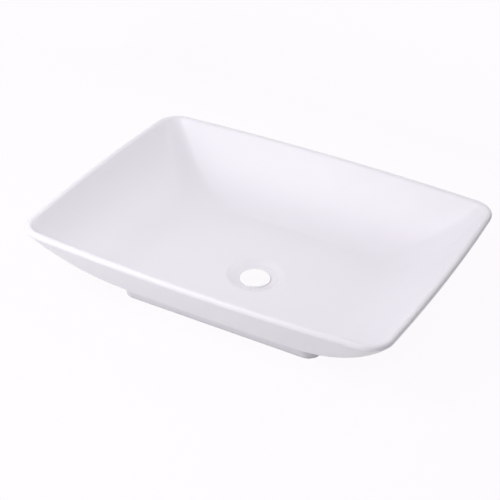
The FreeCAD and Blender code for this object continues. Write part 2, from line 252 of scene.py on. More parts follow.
def rounded_profile(corners):
    """Closed profile of (radius, height, rounding) corners, with each corner turned into an arc."""
    path = []
    for k, (r, z, rounding) in enumerate(corners):
        here = np.array((r, z))
        if rounding <= 0.0:
            path.append(here)
            continue
        before = np.array(corners[k - 1][:2]) - here
        after = np.array(corners[(k + 1) % len(corners)][:2]) - here
        to_before, to_after = before / np.linalg.norm(before), after / np.linalg.norm(after)
        half = math.acos(np.clip(to_before @ to_after, -1.0, 1.0)) / 2
        shortest = min(np.linalg.norm(before), np.linalg.norm(after))
        reach = min(rounding / math.tan(half), EDGE_SHARE * shortest)
        start, end = here + to_before * reach, here + to_after * reach
        path.append(here + to_before * reach * ARC_HOLD)
        for step in range(ARC_STEPS + 1):
            t = step / ARC_STEPS
            path.append((1 - t) ** 2 * start + 2 * t * (1 - t) * here + t ** 2 * end)
        path.append(here + to_after * reach * ARC_HOLD)
    return path


def turned_ring(radius, z, turns):
    """Points round the drain's axis, at one radius or at one for each turn."""
    return np.column_stack([DRAIN.x + radius * np.cos(turns), DRAIN.y + radius * np.sin(turns),
                            np.full(len(turns), z)])


def lathe_mesh(name, corners, segments=LATHE_SEGMENTS):
    """Solid of revolution about the drain's axis. A profile that starts on the axis also ends on it."""
    turns = np.linspace(0.0, 2 * math.pi, segments, endpoint=False)
    profile = rounded_profile(corners)
    if corners[0][0] > 0.0:
        return loop_mesh(name, [turned_ring(r, z, turns) for r, z in profile])
    rings = [turned_ring(r, z, turns) for r, z in profile[1:-1]]
    points = np.vstack(rings).tolist()
    faces = []
    for row in range(len(rings) - 1):
        faces.extend(ring_faces(row * segments, (row + 1) * segments, segments))
    bottom, top, last = len(points), len(points) + 1, (len(rings) - 1) * segments
    points.extend((DRAIN.x, DRAIN.y, end[1]) for end in (profile[0], profile[-1]))
    for k in range(segments):
        after = (k + 1) % segments
        faces.extend([(bottom, after, k), (top, last + k, last + after)])
    return new_mesh(name, points, faces)


def washer_mesh(name, inner, outer, bottom, top, rounding):
    """Flat ring about the drain's axis with rounded edges."""
    return lathe_mesh(name, [(inner, bottom, rounding), (outer, bottom, rounding), (outer, top, rounding),
                             (inner, top, rounding)])


def joined(name, *meshes):
    """One mesh of several."""
    points, faces, smooth_flags = [], [], []
    for mesh in meshes:
        start = len(points)
        points.extend(v.co[:] for v in mesh.vertices)
        faces.extend([start + k for k in face.vertices] for face in mesh.polygons)
        smooth_flags.extend(face.use_smooth for face in mesh.polygons)
    whole = new_mesh(name, points, faces)
    whole.polygons.foreach_set("use_smooth", smooth_flags)
    whole.update()
    return whole


def flat(mesh):
    """Flat shading on every face."""
    mesh.polygons.foreach_set("use_smooth", [False] * len(mesh.polygons))
    return mesh


# Geometry Nodes

WIRE_SIDES = 12


def new_tree(name, inputs):
    """Node group with the named inputs, and its group nodes."""
    tree = bpy.data.node_groups.new(name, "GeometryNodeTree")
    for label, kind in inputs:
        tree.interface.new_socket(label, in_out="INPUT", socket_type="NodeSocket" + kind)
    tree.interface.new_socket("Geometry", in_out="OUTPUT", socket_type="NodeSocketGeometry")
    given = tree.nodes.new("NodeGroupInput")
    result = tree.nodes.new("NodeGroupOutput")
    return tree, given, result


def close_tree(tree, given, result, geometry):
    """Ends a tree with real meshes in the given material."""
    soft = tree.nodes.new("GeometryNodeSetShadeSmooth")
    real = tree.nodes.new("GeometryNodeRealizeInstances")
    paint = tree.nodes.new("GeometryNodeSetMaterial")
    tree.links.new(given.outputs["Material"], paint.inputs["Material"])
    for node in (soft, real, paint):
        tree.links.new(geometry, node.inputs["Geometry"])
        geometry = node.outputs["Geometry"]
    tree.links.new(geometry, result.inputs["Geometry"])
    return tree


def math_node(tree, operation, *values):
    """Result of a calculation on numbers and sockets."""
    node = tree.nodes.new("ShaderNodeMath")
    node.operation = operation
    for socket, value in zip(node.inputs, values):
        if isinstance(value, NodeSocket):
            tree.links.new(value, socket)
        else:
            socket.default_value = value
    return node.outputs["Value"]


def coil_tree():
    """Round wire wound about the Z axis."""
    tree, given, result = new_tree("wound_wire", (
        ("Turns", "Float"), ("Coil Radius", "Float"), ("Wire Radius", "Float"), ("Height", "Float"),
        ("Resolution", "Int"), ("Material", "Material")))
    path = tree.nodes.new("GeometryNodeCurveSpiral")
    for source, target in (("Resolution", "Resolution"), ("Turns", "Rotations"), ("Coil Radius", "Start Radius"),
                           ("Coil Radius", "End Radius"), ("Height", "Height")):
        tree.links.new(given.outputs[source], path.inputs[target])
    section = tree.nodes.new("GeometryNodeCurvePrimitiveCircle")
    section.inputs["Resolution"].default_value = WIRE_SIDES
    tree.links.new(given.outputs["Wire Radius"], section.inputs["Radius"])
    sweep = tree.nodes.new("GeometryNodeCurveToMesh")
    sweep.inputs["Fill Caps"].default_value = True
    tree.links.new(path.outputs["Curve"], sweep.inputs["Curve"])
    tree.links.new(section.outputs["Curve"], sweep.inputs["Profile Curve"])
    return close_tree(tree, given, result, sweep.outputs["Mesh"])


def spoke_tree():
    """Equal blocks set round the Z axis."""
    tree, given, result = new_tree("blocks_in_a_ring", (
        ("Count", "Int"), ("Size", "Vector"), ("Place", "Vector"), ("Material", "Material")))
    block = tree.nodes.new("GeometryNodeMeshCube")
    tree.links.new(given.outputs["Size"], block.inputs["Size"])
    moved = tree.nodes.new("GeometryNodeTransform")
    tree.links.new(block.outputs["Mesh"], moved.inputs["Geometry"])
    tree.links.new(given.outputs["Place"], moved.inputs["Translation"])
    line = tree.nodes.new("GeometryNodeMeshLine")
    line.inputs["Offset"].default_value = (0.0, 0.0, 0.0)
    tree.links.new(given.outputs["Count"], line.inputs["Count"])
    index = tree.nodes.new("GeometryNodeInputIndex")
    share = math_node(tree, "DIVIDE", index.outputs["Index"], given.outputs["Count"])
    angles = tree.nodes.new("ShaderNodeCombineXYZ")
    tree.links.new(math_node(tree, "MULTIPLY", share, 2 * math.pi), angles.inputs["Z"])
    copies = tree.nodes.new("GeometryNodeInstanceOnPoints")
    tree.links.new(line.outputs["Mesh"], copies.inputs["Points"])
    tree.links.new(moved.outputs["Geometry"], copies.inputs["Instance"])
    tree.links.new(angles.outputs["Vector"], copies.inputs["Rotation"])
    return close_tree(tree, given, result, copies.outputs["Instances"])


def grow(tree, centre, **values):
    """Plain mesh that a tree makes from its named inputs, moved to a place."""
    carrier = bpy.data.objects.new(tree.name, bpy.data.meshes.new(tree.name))
    bpy.context.collection.objects.link(carrier)
    modifier = carrier.modifiers.new(tree.name, "NODES")
    modifier.node_group = tree
    wanted = {key.replace("_", " ").title(): value for key, value in values.items()}
    for socket in tree.interface.items_tree:
        if socket.in_out == "INPUT":
            modifier[socket.identifier] = wanted[socket.name]
    graph = bpy.context.evaluated_depsgraph_get()
    mesh = bpy.data.meshes.new_from_object(carrier.evaluated_get(graph), depsgraph=graph)
    bpy.data.objects.remove(carrier)
    if not mesh.polygons:
        raise RuntimeError("The tree " + tree.name + " made no faces")
    mesh.transform(Matrix.Translation(centre))
    return mesh


# Rings of the ceramic

CORNER_POINTS, END_POINTS, SIDE_POINTS = 17, 12, 15     # points of an outline's arcs in one quarter
OUTER_STEPS, RIM_STEPS, INNER_STEPS = 30, 18, 34        # rings up the outside, over the rim and down the inside
FLOOR_STEPS, LIP_STEPS, COVE_STEPS = 14, 10, 8
STRAIGHT_BOW = 0.05 * MM    # bow of a side that looks straight
MID_ROUND = 0.3             # inset halfway round a quarter circle, as a share of its radius
COVE_TOP, LEAN_TOP = 3, 8   # rings of the wall that the foot's ends and its long sides run into
LEAN_START = 2.5            # where a long side starts to lean, in foot edges above the counter
LEAN_BEND = 2.0 * MM        # bend of a long side above the underside


def arc_points(centre, radius, first, last, count):
    """Points of an arc between two angles."""
    turns = np.linspace(first, last, count)
    return np.column_stack([centre[0] + radius * np.cos(turns), centre[1] + radius * np.sin(turns)])


def bowed_outline(length, width, corner, end_bow, side_bow):
    """Rectangle of four long arcs and four corner arcs that run smoothly together."""
    a, b = length / 2, width / 2
    end_radius = (b * b + end_bow * end_bow) / (2 * end_bow)
    side_radius = (a * a + side_bow * side_bow) / (2 * side_bow)
    end_centre = np.array((a - end_radius, 0.0))
    side_centre = np.array((0.0, b - side_radius))
    gap = np.linalg.norm(side_centre - end_centre)
    axis = (side_centre - end_centre) / gap
    reach_end, reach_side = end_radius - corner, side_radius - corner
    along = (gap ** 2 + reach_end ** 2 - reach_side ** 2) / (2 * gap)
    across = math.sqrt(reach_end ** 2 - along ** 2)
    normal = np.array((-axis[1], axis[0]))
    corner_centre = max((end_centre + axis * along + normal * side * across for side in (-1, 1)),
                        key=lambda p: min(p))
    from_end = math.atan2(*(corner_centre - end_centre)[::-1])
    from_side = math.atan2(*(corner_centre - side_centre)[::-1])
    quarter = np.vstack([
        arc_points(end_centre, end_radius, 0.0, from_end, END_POINTS),
        arc_points(corner_centre, corner, from_end, from_side, CORNER_POINTS)[1:],
        arc_points(side_centre, side_radius, from_side, math.pi / 2, SIDE_POINTS)[1:],
    ])
    upper = np.vstack([quarter, quarter[::-1][1:] * (-1, 1)])
    return np.vstack([upper, upper[::-1][1:-1] * (1, -1)])


def at_height(outline, z):
    """Ring of an outline at a height."""
    return np.column_stack([outline, np.full(len(outline), z)])


def between(low, high, share, power=1.0):
    """Value part of the way from one to another."""
    return low + (high - low) * share ** power


def rim_size(shape, angle):
    """Outline sizes on the round of the rim, and the height, at an angle from its outermost line."""
    radius = shape.rim_thickness / 2
    inset = radius - radius * math.cos(angle)
    size = (shape.length - 2 * inset, shape.width - 2 * inset, shape.corner - inset, shape.end_bow, shape.side_bow)
    return size, shape.height - radius + radius * math.sin(angle)


def floor_size(shape):
    """Outline sizes of the floor's edge."""
    return shape.floor_length, shape.floor_width, shape.floor_corner, shape.low_bow, shape.low_bow


def dish_height(shape):
    """Height of the level circle round the drain."""
    return shape.floor_height - shape.floor_fall


def seat_height(shape, radius):
    """Height of the seat under the flange."""
    return dish_height(shape) - (shape.recess_radius - radius) * math.tan(shape.cone_angle)


def drain_ring(shape, radius, z):
    """Circle round the drain whose points face those of the floor's edge."""
    edge = bowed_outline(*floor_size(shape))
    return turned_ring(radius, z, np.arctan2(edge[:, 1] - DRAIN.y, edge[:, 0] - DRAIN.x))


def foot_ring(shape, widening, z):
    """Outline of the foot, widened all round, at a height."""
    return at_height(bowed_outline(shape.foot_length + 2 * widening, shape.foot_width + 2 * widening,
                                   shape.foot_corner + widening, STRAIGHT_BOW, STRAIGHT_BOW), z)


def wall_rings(shape, low, low_z, angle, side_power, corner_power, steps):
    """Rings of one side of the wall, from its lowest outline up to the round of the rim."""
    high, high_z = rim_size(shape, angle)
    powers = (shape.end_power, side_power, corner_power, 1.0, 1.0)
    rings = []
    for step in range(steps + 1):
        share = (step / steps) ** 2
        size = [between(l, h, share, p) for l, h, p in zip(low, high, powers)]
        rings.append(at_height(bowed_outline(*size), between(low_z, high_z, share)))
    return rings


def underside_rings(shape):
    """Rings from the waste hole over the boss and the hollow foot to the foot's outer face."""
    foot_z, boss_z, edge, soft = shape.foot_height, shape.boss_underside, shape.foot_edge, shape.hole_edge
    mid, soft_mid = MID_ROUND * edge, MID_ROUND * soft
    hole, boss, inner = shape.hole_radius, shape.boss_radius, -shape.foot_wall
    circles = ((hole, boss_z + soft), (hole + soft_mid, boss_z + soft_mid), (hole + soft, boss_z),
               (boss - 2 * edge, boss_z), (boss - edge, boss_z), (boss - mid, boss_z + mid), (boss, boss_z + edge),
               (boss, foot_z - edge), (boss + mid, foot_z - mid), (boss + edge, foot_z), (boss + 2 * edge, foot_z))
    outlines = ((inner - 2 * edge, foot_z), (inner - edge, foot_z), (inner - mid, foot_z - mid),
                (inner, foot_z - edge), (inner, 2 * edge), (inner, edge), (inner + mid, mid), (inner + edge, 0.0),
                (inner + 2 * edge, 0.0), (-2 * edge, 0.0), (-edge, 0.0), (-mid, mid), (0.0, edge), (0.0, 2 * edge))
    return ([drain_ring(shape, radius, z) for radius, z in circles]
            + [foot_ring(shape, widening, z) for widening, z in outlines])


def cove(low, bend, high, steps):
    """Rings of a hollow curve from one ring towards another, drawn to the ring at its bend."""
    shares = [step / steps for step in range(steps)]
    return [(1 - t) ** 2 * low + 2 * t * (1 - t) * bend + t ** 2 * high for t in shares]


def outer_rings(shape):
    """Rings from the foot up the outside: a tight cove at the ends, a long lean along the sides."""
    foot_z, draft = shape.foot_height, math.tan(shape.foot_draft)
    under = (shape.foot_length + 2 * shape.foot_ledge, shape.foot_width + 2 * shape.foot_ledge,
             shape.underside_corner, shape.low_bow, shape.low_bow)
    wall = wall_rings(shape, under, foot_z, -shape.rim_lean, shape.side_power, 1.0, OUTER_STEPS)
    tight = cove(foot_ring(shape, 0.0, foot_z - shape.foot_cove), foot_ring(shape, 0.0, foot_z),
                 wall[COVE_TOP], COVE_STEPS) + wall[COVE_TOP:LEAN_TOP]
    low_z, bend_z = LEAN_START * shape.foot_edge, foot_z + LEAN_BEND
    wide = cove(foot_ring(shape, low_z * draft, low_z), foot_ring(shape, bend_z * draft, bend_z),
                wall[LEAN_TOP], len(tight))
    line = foot_ring(shape, 0.0, 0.0)
    along = np.roll(line, -1, axis=0) - np.roll(line, 1, axis=0)
    side = (along[:, :1] / np.linalg.norm(along, axis=1, keepdims=True)) ** 2
    return [ends * (1 - side) + sides * side for ends, sides in zip(tight, wide)] + wall[LEAN_TOP:]


def rim_rings(shape):
    """Rings over the round of the rim."""
    rings = []
    for step in range(1, RIM_STEPS):
        size, z = rim_size(shape, -shape.rim_lean + math.pi * step / RIM_STEPS)
        rings.append(at_height(bowed_outline(*size), z))
    return rings


def floor_rings(shape):
    """Rings down the inside and over the floor to the level circle round the drain."""
    wall = wall_rings(shape, floor_size(shape), shape.floor_height, math.pi - shape.rim_lean,
                      shape.floor_side_power, shape.floor_corner_power, INNER_STEPS)
    edge, dish_z = wall[0], dish_height(shape)
    dish = drain_ring(shape, shape.dish_radius, dish_z)
    rings = wall[::-1]
    for step in range(1, FLOOR_STEPS + 1):
        share = step / FLOOR_STEPS
        ring = edge + (dish - edge) * share
        ring[:, 2] = between(shape.floor_height, dish_z, share * share * (3 - 2 * share))
        rings.append(ring)
    return rings


def recess_rings(shape):
    """Rings over the recess's round lip and down its seat into the waste hole."""
    hole, soft, rounding = shape.hole_radius, shape.hole_edge, shape.recess_round
    dish_z, hole_z = dish_height(shape), seat_height(shape, hole)
    tangent = rounding * math.tan(shape.cone_angle / 2)
    lip = shape.recess_radius + tangent
    turns = [shape.cone_angle * step / LIP_STEPS for step in range(LIP_STEPS + 1)]
    circles = [(lip - rounding * math.sin(turn), dish_z - rounding * (1 - math.cos(turn))) for turn in turns]
    circles += [(radius, seat_height(shape, radius))
                for radius in (shape.recess_radius - 2 * tangent, hole + 2 * soft, hole + soft)]
    circles += [(hole + MID_ROUND * soft, hole_z - MID_ROUND * soft), (hole, hole_z - soft)]
    return [drain_ring(shape, radius, z) for radius, z in circles]


# Heights of the waste

def gasket_rise(scene):
    """Upright thickness of the gasket on its slope."""
    return scene.basin_waste.gasket / math.cos(scene.basin_shape.cone_angle)


def throat_radius(waste):
    """Inside of the tail."""
    return waste.tail_radius - waste.tail_wall


def flange_height(scene, radius):
    """Top of the flange, which slopes evenly from its thin edge to its full thickness at the throat."""
    shape, waste = scene.basin_shape, scene.basin_waste
    throat = throat_radius(waste)
    full = gasket_rise(scene) + waste.flange_thickness / math.cos(shape.cone_angle)
    return between(seat_height(shape, waste.flange_radius) + waste.flange_edge, seat_height(shape, throat) + full,
                   (waste.flange_radius - radius) / (waste.flange_radius - throat))


# Materials

def node_material(name):
    """Node material with its tree, its shader and the Object coordinates."""
    material = bpy.data.materials.new(name)
    material.use_nodes = True
    tree = material.node_tree
    shader = tree.nodes["Principled BSDF"]
    place = tree.nodes.new("ShaderNodeTexCoord").outputs["Object"]
    return material, tree, shader, place


def noise(tree, place, scale, detail=2.0):
    """Soft noise from zero to one."""
    texture = tree.nodes.new("ShaderNodeTexNoise")
    texture.inputs["Scale"].default_value = scale
    texture.inputs["Detail"].default_value = detail
    tree.links.new(place, texture.inputs["Vector"])
    return texture.outputs["Fac"]


def spread(tree, value, low, high, start=0.0, end=1.0):
    """Maps a value between start and end to a range."""
    node = tree.nodes.new("ShaderNodeMapRange")
    for label, limit in (("From Min", start), ("From Max", end), ("To Min", low), ("To Max", high)):
        node.inputs[label].default_value = limit
    tree.links.new(value, node.inputs["Value"])
    return node.outputs["Result"]


def below(tree, place, whole, none):
    """One under the height whole, falling to zero at the height none."""
    split = tree.nodes.new("ShaderNodeSeparateXYZ")
    tree.links.new(place, split.inputs["Vector"])
    return spread(tree, split.outputs["Z"], 1.0, 0.0, whole, none)


def tint(tree, value, first, second):
    """Blends two colours, plain or from sockets, by a value."""
    node = tree.nodes.new("ShaderNodeMix")
    node.data_type = "RGBA"
    for label, paint in (("A", first), ("B", second)):
        if isinstance(paint, NodeSocket):
            tree.links.new(paint, node.inputs[label])
        else:
            node.inputs[label].default_value = (*paint, 1.0)
    tree.links.new(value, node.inputs["Factor"])
    return node.outputs["Result"]


def bump(tree, shader, height, strength, distance):
    """Fine relief on a shader's surface."""
    node = tree.nodes.new("ShaderNodeBump")
    node.inputs["Strength"].default_value = strength
    node.inputs["Distance"].default_value = distance
    tree.links.new(height, node.inputs["Height"])
    tree.links.new(node.outputs["Normal"], shader.inputs["Normal"])


def shade(values, factor):
    """Darker form of a colour."""
    return tuple(v * factor for v in values)


def glaze_material(finish):
    """White glaze with a faint ripple, bare clay where the foot stands on the counter."""
    material, tree, shader, place = node_material("gloss_white_glaze")
    white = tint(tree, noise(tree, place, scale=9.0, detail=3.0), shade(finish.glaze, 0.985), finish.glaze)
    wiped = below(tree, place, whole=0.1 * MM, none=0.3 * MM)
    tree.links.new(tint(tree, wiped, white, finish.bisque), shader.inputs["Base Color"])
    glazed = spread(tree, noise(tree, place, scale=40.0), low=0.36, high=0.44)
    rougher_clay = 0.6
    tree.links.new(math_node(tree, "MULTIPLY_ADD", wiped, rougher_clay, glazed), shader.inputs["Roughness"])
    shader.inputs["IOR"].default_value = 1.5
    bump(tree, shader, noise(tree, place, scale=55.0), strength=0.04, distance=0.4 * MM)
    return material


def orange_peel(tree, shader, place):
    """Faint relief of a sprayed coat."""
    bump(tree, shader, noise(tree, place, scale=160.0), strength=0.03, distance=0.1 * MM)


def coat_material(name, base):
    """Smooth sprayed coat."""
    material, tree, shader, place = node_material(name)
    tree.links.new(tint(tree, noise(tree, place, scale=60.0), shade(base, 0.985), base), shader.inputs["Base Color"])
    tree.links.new(spread(tree, noise(tree, place, scale=90.0), low=0.30, high=0.38), shader.inputs["Roughness"])
    orange_peel(tree, shader, place)
    return material


def coated_casting(finish):
    """White coat on the flange, set a little darker than the glaze as painted shade for the recess round the drain;
    nickel on the tail below it.
    """
    material, tree, shader, place = node_material("coated_waste_painted_shade")
    bare = below(tree, place, whole=5.0 * MM, none=6.0 * MM)
    # The coat's colour holds painted shade for the recess round the drain.
    tree.links.new(tint(tree, bare, finish.coat, finish.nickel), shader.inputs["Base Color"])
    tree.links.new(bare, shader.inputs["Metallic"])
    tree.links.new(spread(tree, noise(tree, place, scale=90.0), low=0.34, high=0.42), shader.inputs["Roughness"])
    orange_peel(tree, shader, place)
    return material


def turned_metal(name, base, roughness):
    """Metal turned on a lathe: fine rings along the axis."""
    material, tree, shader, place = node_material(name)
    rings = tree.nodes.new("ShaderNodeTexWave")
    rings.bands_direction = "Z"
    rings.inputs["Scale"].default_value = 700.0
    rings.inputs["Distortion"].default_value = 1.5
    tree.links.new(place, rings.inputs["Vector"])
    tree.links.new(tint(tree, noise(tree, place, scale=120.0), shade(base, 0.85), base), shader.inputs["Base Color"])
    tree.links.new(spread(tree, rings.outputs["Fac"], roughness, roughness + 0.12), shader.inputs["Roughness"])
    shader.inputs["Metallic"].default_value = 1.0
    bump(tree, shader, rings.outputs["Fac"], strength=0.06, distance=0.05 * MM)
    return material


def moulded_material(name, base, roughness, grain):
    """Moulded rubber or plastic with a fine grain."""
    material, tree, shader, place = node_material(name)
    tree.links.new(tint(tree, noise(tree, place, scale=80.0), shade(base, 0.9), base), shader.inputs["Base Color"])
    tree.links.new(spread(tree, noise(tree, place, scale=200.0), roughness - 0.05, roughness + 0.05),
                   shader.inputs["Roughness"])
    bump(tree, shader, noise(tree, place, scale=grain), strength=0.15, distance=0.1 * MM)
    return material


def seen_rays(tree):
    """One for rays that show the background itself: to the camera, in gloss and through glass."""
    path = tree.nodes.new("ShaderNodeLightPath")
    seen = path.outputs["Is Camera Ray"]
    for kind in ("Is Glossy Ray", "Is Transmission Ray"):
        seen = math_node(tree, "MAXIMUM", seen, path.outputs[kind])
    return seen


def mixed_shader(tree, share, first, second):
    """Blends two shaders by a value."""
    mix = tree.nodes.new("ShaderNodeMixShader")
    for socket, source in zip(mix.inputs, (share, first, second)):
        tree.links.new(source, socket)
    return mix.outputs["Shader"]


# Operators

class BASIN_OT_ceramic(Operator):
    """Builds the glazed bowl with its rim, foot and drain boss"""
    bl_idname = "basin.ceramic"
    bl_label = "Ceramic Basin"

    def execute(self, context):
        scene = context.scene
        shape = scene.basin_shape
        rings = [ring for part in (underside_rings, outer_rings, rim_rings, floor_rings, recess_rings)
                 for ring in part(shape)]
        mesh = loop_mesh("glazed_basin", rings)
        finish_piece("glazed_basin", mesh, "basin", glaze_material(scene.basin_finish), "basin_body")
        return {"FINISHED"}


class BASIN_OT_waste_body(Operator):
    """Builds the waste casting: dished flange, threaded tail and cross arms"""
    bl_idname = "basin.waste_body"
    bl_label = "Waste Body"

    def execute(self, context):
        scene = context.scene
        waste = scene.basin_waste
        material = coated_casting(scene.basin_finish)
        parts = (self.casting(scene), self.thread(waste, material), self.hub(waste), self.arms(waste, material))
        finish_piece("waste_casting", joined("waste_casting", *parts), "basin", material, "waste_body")
        return {"FINISHED"}

    def casting(self, scene):
        """Dished flange with a lip round its gasket, and the tail below it."""
        shape, waste = scene.basin_shape, scene.basin_waste
        tail, edge, throat = waste.tail_radius, waste.flange_radius, throat_radius(waste)
        root, rise = tail - waste.thread_depth, gasket_rise(scene)
        lip = edge - 3.0 * MM
        gap, sharp = 0.05 * MM, 0.05 * MM
        thread_end, neck_start = -1.0 * MM, 0.2 * MM
        return lathe_mesh("flange_and_tail", [
            (throat, WASTE_LOW.z, 0.4 * MM), (root, WASTE_LOW.z, 0.6 * MM), (root, thread_end, 0.2 * MM),
            (tail, neck_start, 0.3 * MM), (tail, seat_height(shape, tail) + rise, 0.3 * MM),
            (lip, seat_height(shape, lip) + rise, sharp), (lip, seat_height(shape, lip) + gap, sharp),
            (edge, seat_height(shape, edge) + gap, sharp), (edge, flange_height(scene, edge), 0.2 * MM),
            (throat, flange_height(scene, throat), 1.2 * MM)])

    def thread(self, waste, material):
        """Round-crested pipe thread on the tail."""
        wire = waste.thread_pitch * 0.36
        low, high = WASTE_LOW.z + 2.0 * MM + wire, -1.5 * MM - wire
        return grow(coil_tree(), DRAIN + Vector((0, 0, low)), material=material,
                    turns=(high - low) / waste.thread_pitch, coil_radius=waste.tail_radius - wire,
                    wire_radius=wire, height=high - low, resolution=72)

    def hub(self, waste):
        """Ring in the middle of the arms."""
        return washer_mesh("hub", waste.spigot_radius, waste.hub_radius, -waste.arm_drop - waste.arm_depth,
                           -waste.arm_drop, 0.5 * MM)

    def arms(self, waste, material):
        """Arms from inside the hub's wall to inside the tail's."""
        inner = (waste.spigot_radius + waste.hub_radius) / 2
        outer = throat_radius(waste) + waste.tail_wall / 2
        thinner = 0.4 * MM
        return flat(grow(spoke_tree(), DRAIN, count=waste.arm_count, material=material,
                         size=(outer - inner, waste.arm_width, waste.arm_depth - thinner),
                         place=((inner + outer) / 2, 0.0, -waste.arm_drop - waste.arm_depth / 2)))


class BASIN_OT_rings(Operator):
    """Builds the flange gasket, the gasket under the ceramic and the slip washer"""
    bl_idname = "basin.rings"
    bl_label = "Gaskets and Washer"

    def execute(self, context):
        scene = context.scene
        shape, waste, finish = scene.basin_shape, scene.basin_waste, scene.basin_finish
        inner, outer, soft = shape.hole_radius, waste.flange_radius - 3.5 * MM, 0.25 * MM
        inner_z, outer_z, rise = seat_height(shape, inner), seat_height(shape, outer), gasket_rise(scene)
        mesh = lathe_mesh("soft_flange_ring", [(inner, inner_z, soft), (outer, outer_z, soft),
                                               (outer, outer_z + rise, soft), (inner, inner_z + rise, soft)])
        pale = moulded_material("pale_rubber", finish.pale_rubber, roughness=0.6, grain=700.0)
        finish_piece("soft_flange_ring", mesh, "basin", pale, "flange_gasket")
        bore = waste.tail_radius + 0.35 * MM
        rubber = moulded_material("gasket_rubber", finish.rubber, roughness=0.55, grain=700.0)
        nylon = moulded_material("washer_nylon", finish.nylon, roughness=0.4, grain=500.0)
        for name, node, material, slot, rounding in (
                ("rubber_gasket", "under_gasket", rubber, "black_rubber", 0.6 * MM),
                ("nylon_washer", "slip_washer", nylon, "nylon", 0.3 * MM)):
            low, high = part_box(node)
            mesh = washer_mesh(name, bore, box_radius(node), low.z, high.z, rounding)
            finish_piece(name, mesh, "basin", material, node)
        return {"FINISHED"}


class BASIN_OT_back_nut(Operator):
    """Builds the chamfered hexagon nut with its threaded bore"""
    bl_idname = "basin.back_nut"
    bl_label = "Back Nut"

    def execute(self, context):
        scene = context.scene
        mesh = loop_mesh("hexagon_nut", self.rings(scene.basin_waste))
        mesh.set_sharp_from_angle(angle=math.radians(24.0))
        nickel = turned_metal("plated_nut", scene.basin_finish.nickel, roughness=0.2)
        finish_piece("hexagon_nut", mesh, "basin", nickel, "back_nut")
        return {"FINISHED"}

    def rings(self, waste):
        """Rings from the bore's lower end over the outside, and back down through the thread."""
        low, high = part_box("back_nut")
        corner, chamfer, drop = box_radius("back_nut"), waste.nut_chamfer, 1.1 * MM
        pad, pad_height, pad_edge = 27.5 * MM, 1.0 * MM, 0.2 * MM
        hold, countersink = 0.3 * MM, 0.6 * MM
        bore, thread_depth = waste.tail_radius + 0.1 * MM, 0.5 * MM
        segments, chamfer_steps, thread_steps = 192, 8, 60
        shoulder = high.z - pad_height
        turns = np.linspace(0.0, 2 * math.pi, segments, endpoint=False)
        hexagon = corner * math.cos(math.pi / 6) / np.cos(turns % (math.pi / 3) - math.pi / 6)

        def flats(limit, z):
            return turned_ring(np.minimum(hexagon, limit), z, turns)

        def chamfered(step, z, direction):
            share = step / chamfer_steps
            return flats(corner - chamfer + chamfer * share, z + direction * drop * share)

        rings = [turned_ring(bore + countersink, low.z, turns), flats(corner - chamfer - hold, low.z)]
        rings += [chamfered(step, low.z, 1) for step in range(chamfer_steps + 1)]
        rings += [chamfered(step, shoulder, -1) for step in range(chamfer_steps, -1, -1)]
        rings.append(flats(pad + hold, shoulder))
        rings += [turned_ring(radius, z, turns) for radius, z in (
            (pad, shoulder + pad_edge / 2), (pad, high.z - pad_edge), (pad - pad_edge, high.z),
            (bore + countersink, high.z))]
        for step in range(thread_steps + 1):
            z = between(high.z - countersink, low.z + countersink, step / thread_steps)
            crest = 0.5 + 0.5 * np.sin(2 * math.pi * z / waste.thread_pitch - turns)
            rings.append(turned_ring(bore + thread_depth * crest, z, turns))
        return rings


